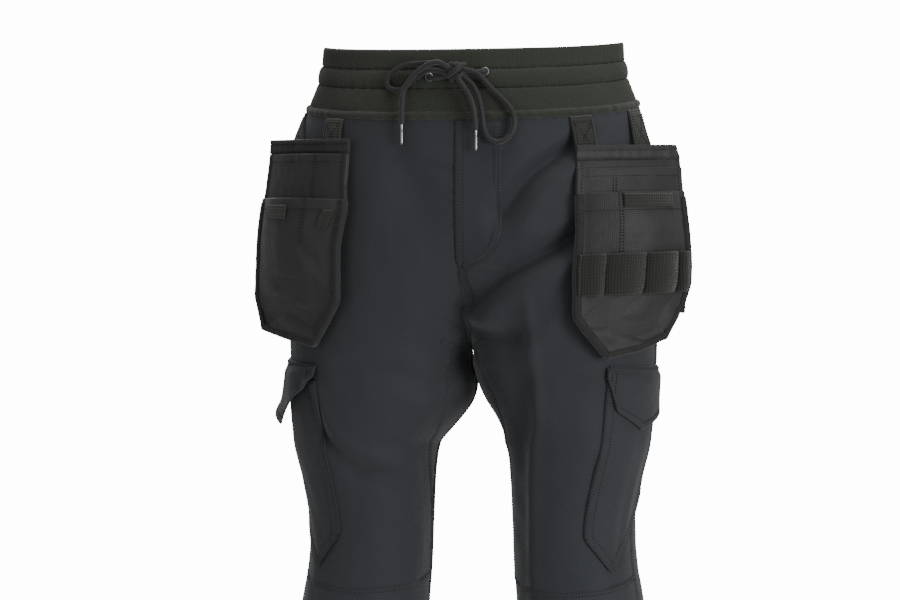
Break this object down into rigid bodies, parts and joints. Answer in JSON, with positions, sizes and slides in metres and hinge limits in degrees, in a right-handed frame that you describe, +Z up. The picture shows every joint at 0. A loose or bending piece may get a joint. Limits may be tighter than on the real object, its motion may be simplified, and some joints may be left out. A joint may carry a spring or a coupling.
{
  "type": "work trousers with holster pockets",
  "caption": "slim black softshell work trousers with a ribbed drawcord waist, hanging holster pockets, cargo pockets on the thighs and curved knee seams, filled out as worn",
  "frame": {"origin": "the middle of the waist opening, level with the drawcord channel, where the wearer's waist holds the trousers up", "axes": "+Z is up, the front faces -Y and +X is the wearer's left"},
  "size_m": [0.4477, 0.2645, 1.0579],
  "materials": {
    "softshell": "matt black stretch softshell, slightly blue",
    "rib_knit": "matt black rib knit",
    "pocket_cloth": "black coated nylon with a faint sheen",
    "webbing": "black woven nylon webbing and binding tape",
    "cord": "black braided cord",
    "metal": "polished nickel"
  },
  "bodies": {
    "root": {"waistband": "rib_knit", "front_panel_left": "softshell", "back_panel_left": "softshell", "shin_panel_left": "softshell", "front_panel_right": "softshell", "back_panel_right": "softshell", "shin_panel_right": "softshell", "fly_facing": "softshell", "cargo_pocket_left": "softshell", "cargo_pocket_right": "softshell", "cargo_flap_left": "softshell", "cargo_flap_right": "softshell", "holster_back_left": "pocket_cloth", "holster_inner_pocket_left": "pocket_cloth", "holster_pouch_left": "pocket_cloth", "holster_band_left": "pocket_cloth", "holster_binding_left": "webbing", "holster_back_right": "pocket_cloth", "holster_inner_pocket_right": "pocket_cloth", "holster_pouch_right": "pocket_cloth", "holster_band_right": "pocket_cloth", "holster_binding_right": "webbing", "strap_left_inner": "webbing", "strap_left_outer": "webbing", "strap_right_inner": "webbing", "strap_right_outer": "webbing", "holster_strip_left": "webbing", "holster_tool_loops_left": "webbing", "holster_strip_right": "webbing", "holster_tab_right": "webbing", "drawcord_knot": "cord", "drawcord_entry_right": "cord", "drawcord_entry_left": "cord", "drawcord_loop_right": "cord", "drawcord_loop_left": "cord", "drawcord_tail_right": "cord", "drawcord_tail_left": "cord", "drawcord_tip_right": "metal", "drawcord_tip_left": "metal", "eyelet_right": "metal", "eyelet_left": "metal"}
  },
  "joints": []
}
